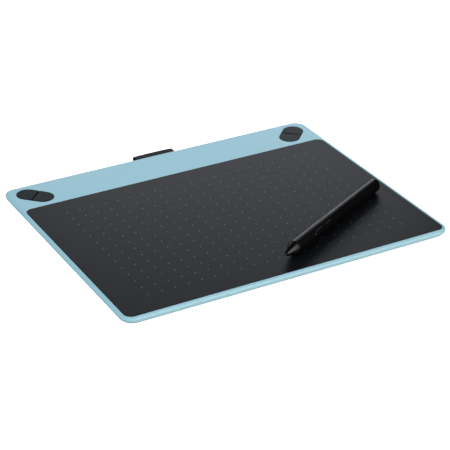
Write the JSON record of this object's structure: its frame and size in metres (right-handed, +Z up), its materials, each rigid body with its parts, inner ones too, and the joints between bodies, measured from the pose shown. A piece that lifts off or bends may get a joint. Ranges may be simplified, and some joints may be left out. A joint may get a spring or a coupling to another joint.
{
  "type": "pen drawing tablet",
  "caption": "Slim flat pen tablet: pale blue case round a dark drawing sheet, split keys in the rear corners, a fabric pen loop at the back and a black pen lying on the sheet.",
  "frame": {"origin": "centre of the outline's box at the height of the feet's undersides", "axes": "+Z up out of the drawing sheet, +Y towards the rear edge with the pen loop, +X to the user's right"},
  "size_m": [0.275, 0.2276, 0.0218],
  "materials": {
    "blue_case": "fine satin moulded plastic, pale blue",
    "dark_sheet": "fine-grained matte drawing surface, charcoal",
    "dark_underside": "matte moulded plastic, dark grey",
    "key_grey": "satin moulded plastic, dark grey",
    "pen_black": "soft satin coating, black",
    "nib_black": "matte engineering plastic, black",
    "ribbon_black": "ribbed woven ribbon, black",
    "rubber": "matte rubber, black",
    "circuit_board": "solder mask, green",
    "flex_film": "polyimide film, amber",
    "chip_black": "moulded plastic, black",
    "connector_plastic": "moulded plastic, ivory",
    "plated_steel": "plated sheet steel",
    "screw_steel": "black-coated steel",
    "ferrite": "wound ferrite core, dark brown"
  },
  "bodies": {
    "case": {"top_case": "blue_case", "bottom_case": "dark_underside", "drawing_sheet": "dark_sheet", "sensor_board": "circuit_board", "shield_plate": "plated_steel", "main_board": "circuit_board", "processor_chip": "chip_black", "power_chip": "chip_black", "sensor_connector": "connector_plastic", "left_key_cable": "flex_film", "usb_shell": "plated_steel", "usb_tongue": "chip_black", "touch_switch_body": "plated_steel", "battery_contacts": "chip_black", "module_connector": "chip_black", "spare_nib_1": "nib_black", "spare_nib_2": "nib_black", "spare_nib_3": "nib_black", "nib_ring": "plated_steel", "key_board_left": "circuit_board", "key_switch_left_rear": "plated_steel", "key_switch_left_front": "plated_steel", "key_board_screw_left_1": "screw_steel", "key_board_screw_left_2": "screw_steel", "case_screw_left_front": "screw_steel", "case_screw_left_middle": "screw_steel", "case_screw_left_back": "screw_steel", "case_screw_left_rear": "screw_steel", "rubber_foot_left_front": "rubber", "rubber_foot_left_rear": "rubber", "key_board_right": "circuit_board", "key_switch_right_rear": "plated_steel", "key_switch_right_front": "plated_steel", "key_board_screw_right_1": "screw_steel", "key_board_screw_right_2": "screw_steel", "case_screw_right_front": "screw_steel", "case_screw_right_middle": "screw_steel", "case_screw_right_back": "screw_steel", "case_screw_right_rear": "screw_steel", "rubber_foot_right_front": "rubber", "rubber_foot_right_rear": "rubber"},
    "cover": {"accessory_cover": "dark_underside"},
    "loop": {"pen_loop": "ribbon_black", "loop_anchor": "chip_black"},
    "touch_switch": {"touch_switch_knob": "key_grey"},
    "key_left_rear": {"key_left_rear": "key_grey"},
    "key_left_front": {"key_left_front": "key_grey"},
    "key_right_rear": {"key_right_rear": "key_grey"},
    "key_right_front": {"key_right_front": "key_grey"},
    "pen": {"pen_barrel": "pen_black", "pen_cone": "pen_black", "pen_end_cap": "pen_black", "pen_coil": "ferrite", "force_sensor": "plated_steel", "pen_board": "circuit_board", "side_switch_contacts": "chip_black"},
    "nib": {"pen_nib": "nib_black", "nib_holder": "connector_plastic"},
    "side_switch": {"side_switch": "pen_black"}
  },
  "joints": [
    {"name": "cover_slide", "type": "slide", "parent": "case", "child": "cover", "axis": [0, 1, 0], "range_m": [0, 0.065]},
    {"name": "loop_pull", "type": "slide", "parent": "case", "child": "loop", "axis": [0, 1, 0], "range_m": [0, 0.0165]},
    {"name": "touch_switch_slide", "type": "slide", "parent": "case", "child": "touch_switch", "axis": [1, 0, 0], "range_m": [0, 0.003]},
    {"name": "key_left_rear_press", "type": "slide", "parent": "case", "child": "key_left_rear", "axis": [0, 0, -1], "range_m": [0, 0.0005], "stiffness_N_per_m": 1500},
    {"name": "key_left_front_press", "type": "slide", "parent": "case", "child": "key_left_front", "axis": [0, 0, -1], "range_m": [0, 0.0005], "stiffness_N_per_m": 1500},
    {"name": "key_right_rear_press", "type": "slide", "parent": "case", "child": "key_right_rear", "axis": [0, 0, -1], "range_m": [0, 0.0005], "stiffness_N_per_m": 1500},
    {"name": "key_right_front_press", "type": "slide", "parent": "case", "child": "key_right_front", "axis": [0, 0, -1], "range_m": [0, 0.0005], "stiffness_N_per_m": 1500},
    {"name": "pen_lift", "type": "slide", "parent": "case", "child": "pen", "axis": [0, 0, 1], "range_m": [0, 0.06]},
    {"name": "nib_press", "type": "slide", "parent": "pen", "child": "nib", "axis": [0.8884, 0.4591, -0.0029], "range_m": [0, 0.0004], "stiffness_N_per_m": 800},
    {"name": "side_switch_rock", "type": "hinge", "parent": "pen", "child": "side_switch", "pos_m": [0.04469, -0.07912, 0.01802], "axis": [0.1989, -0.3906, -0.8988], "range_deg": [-3, 3], "stiffness_Nm_per_rad": 0.05}
  ]
}
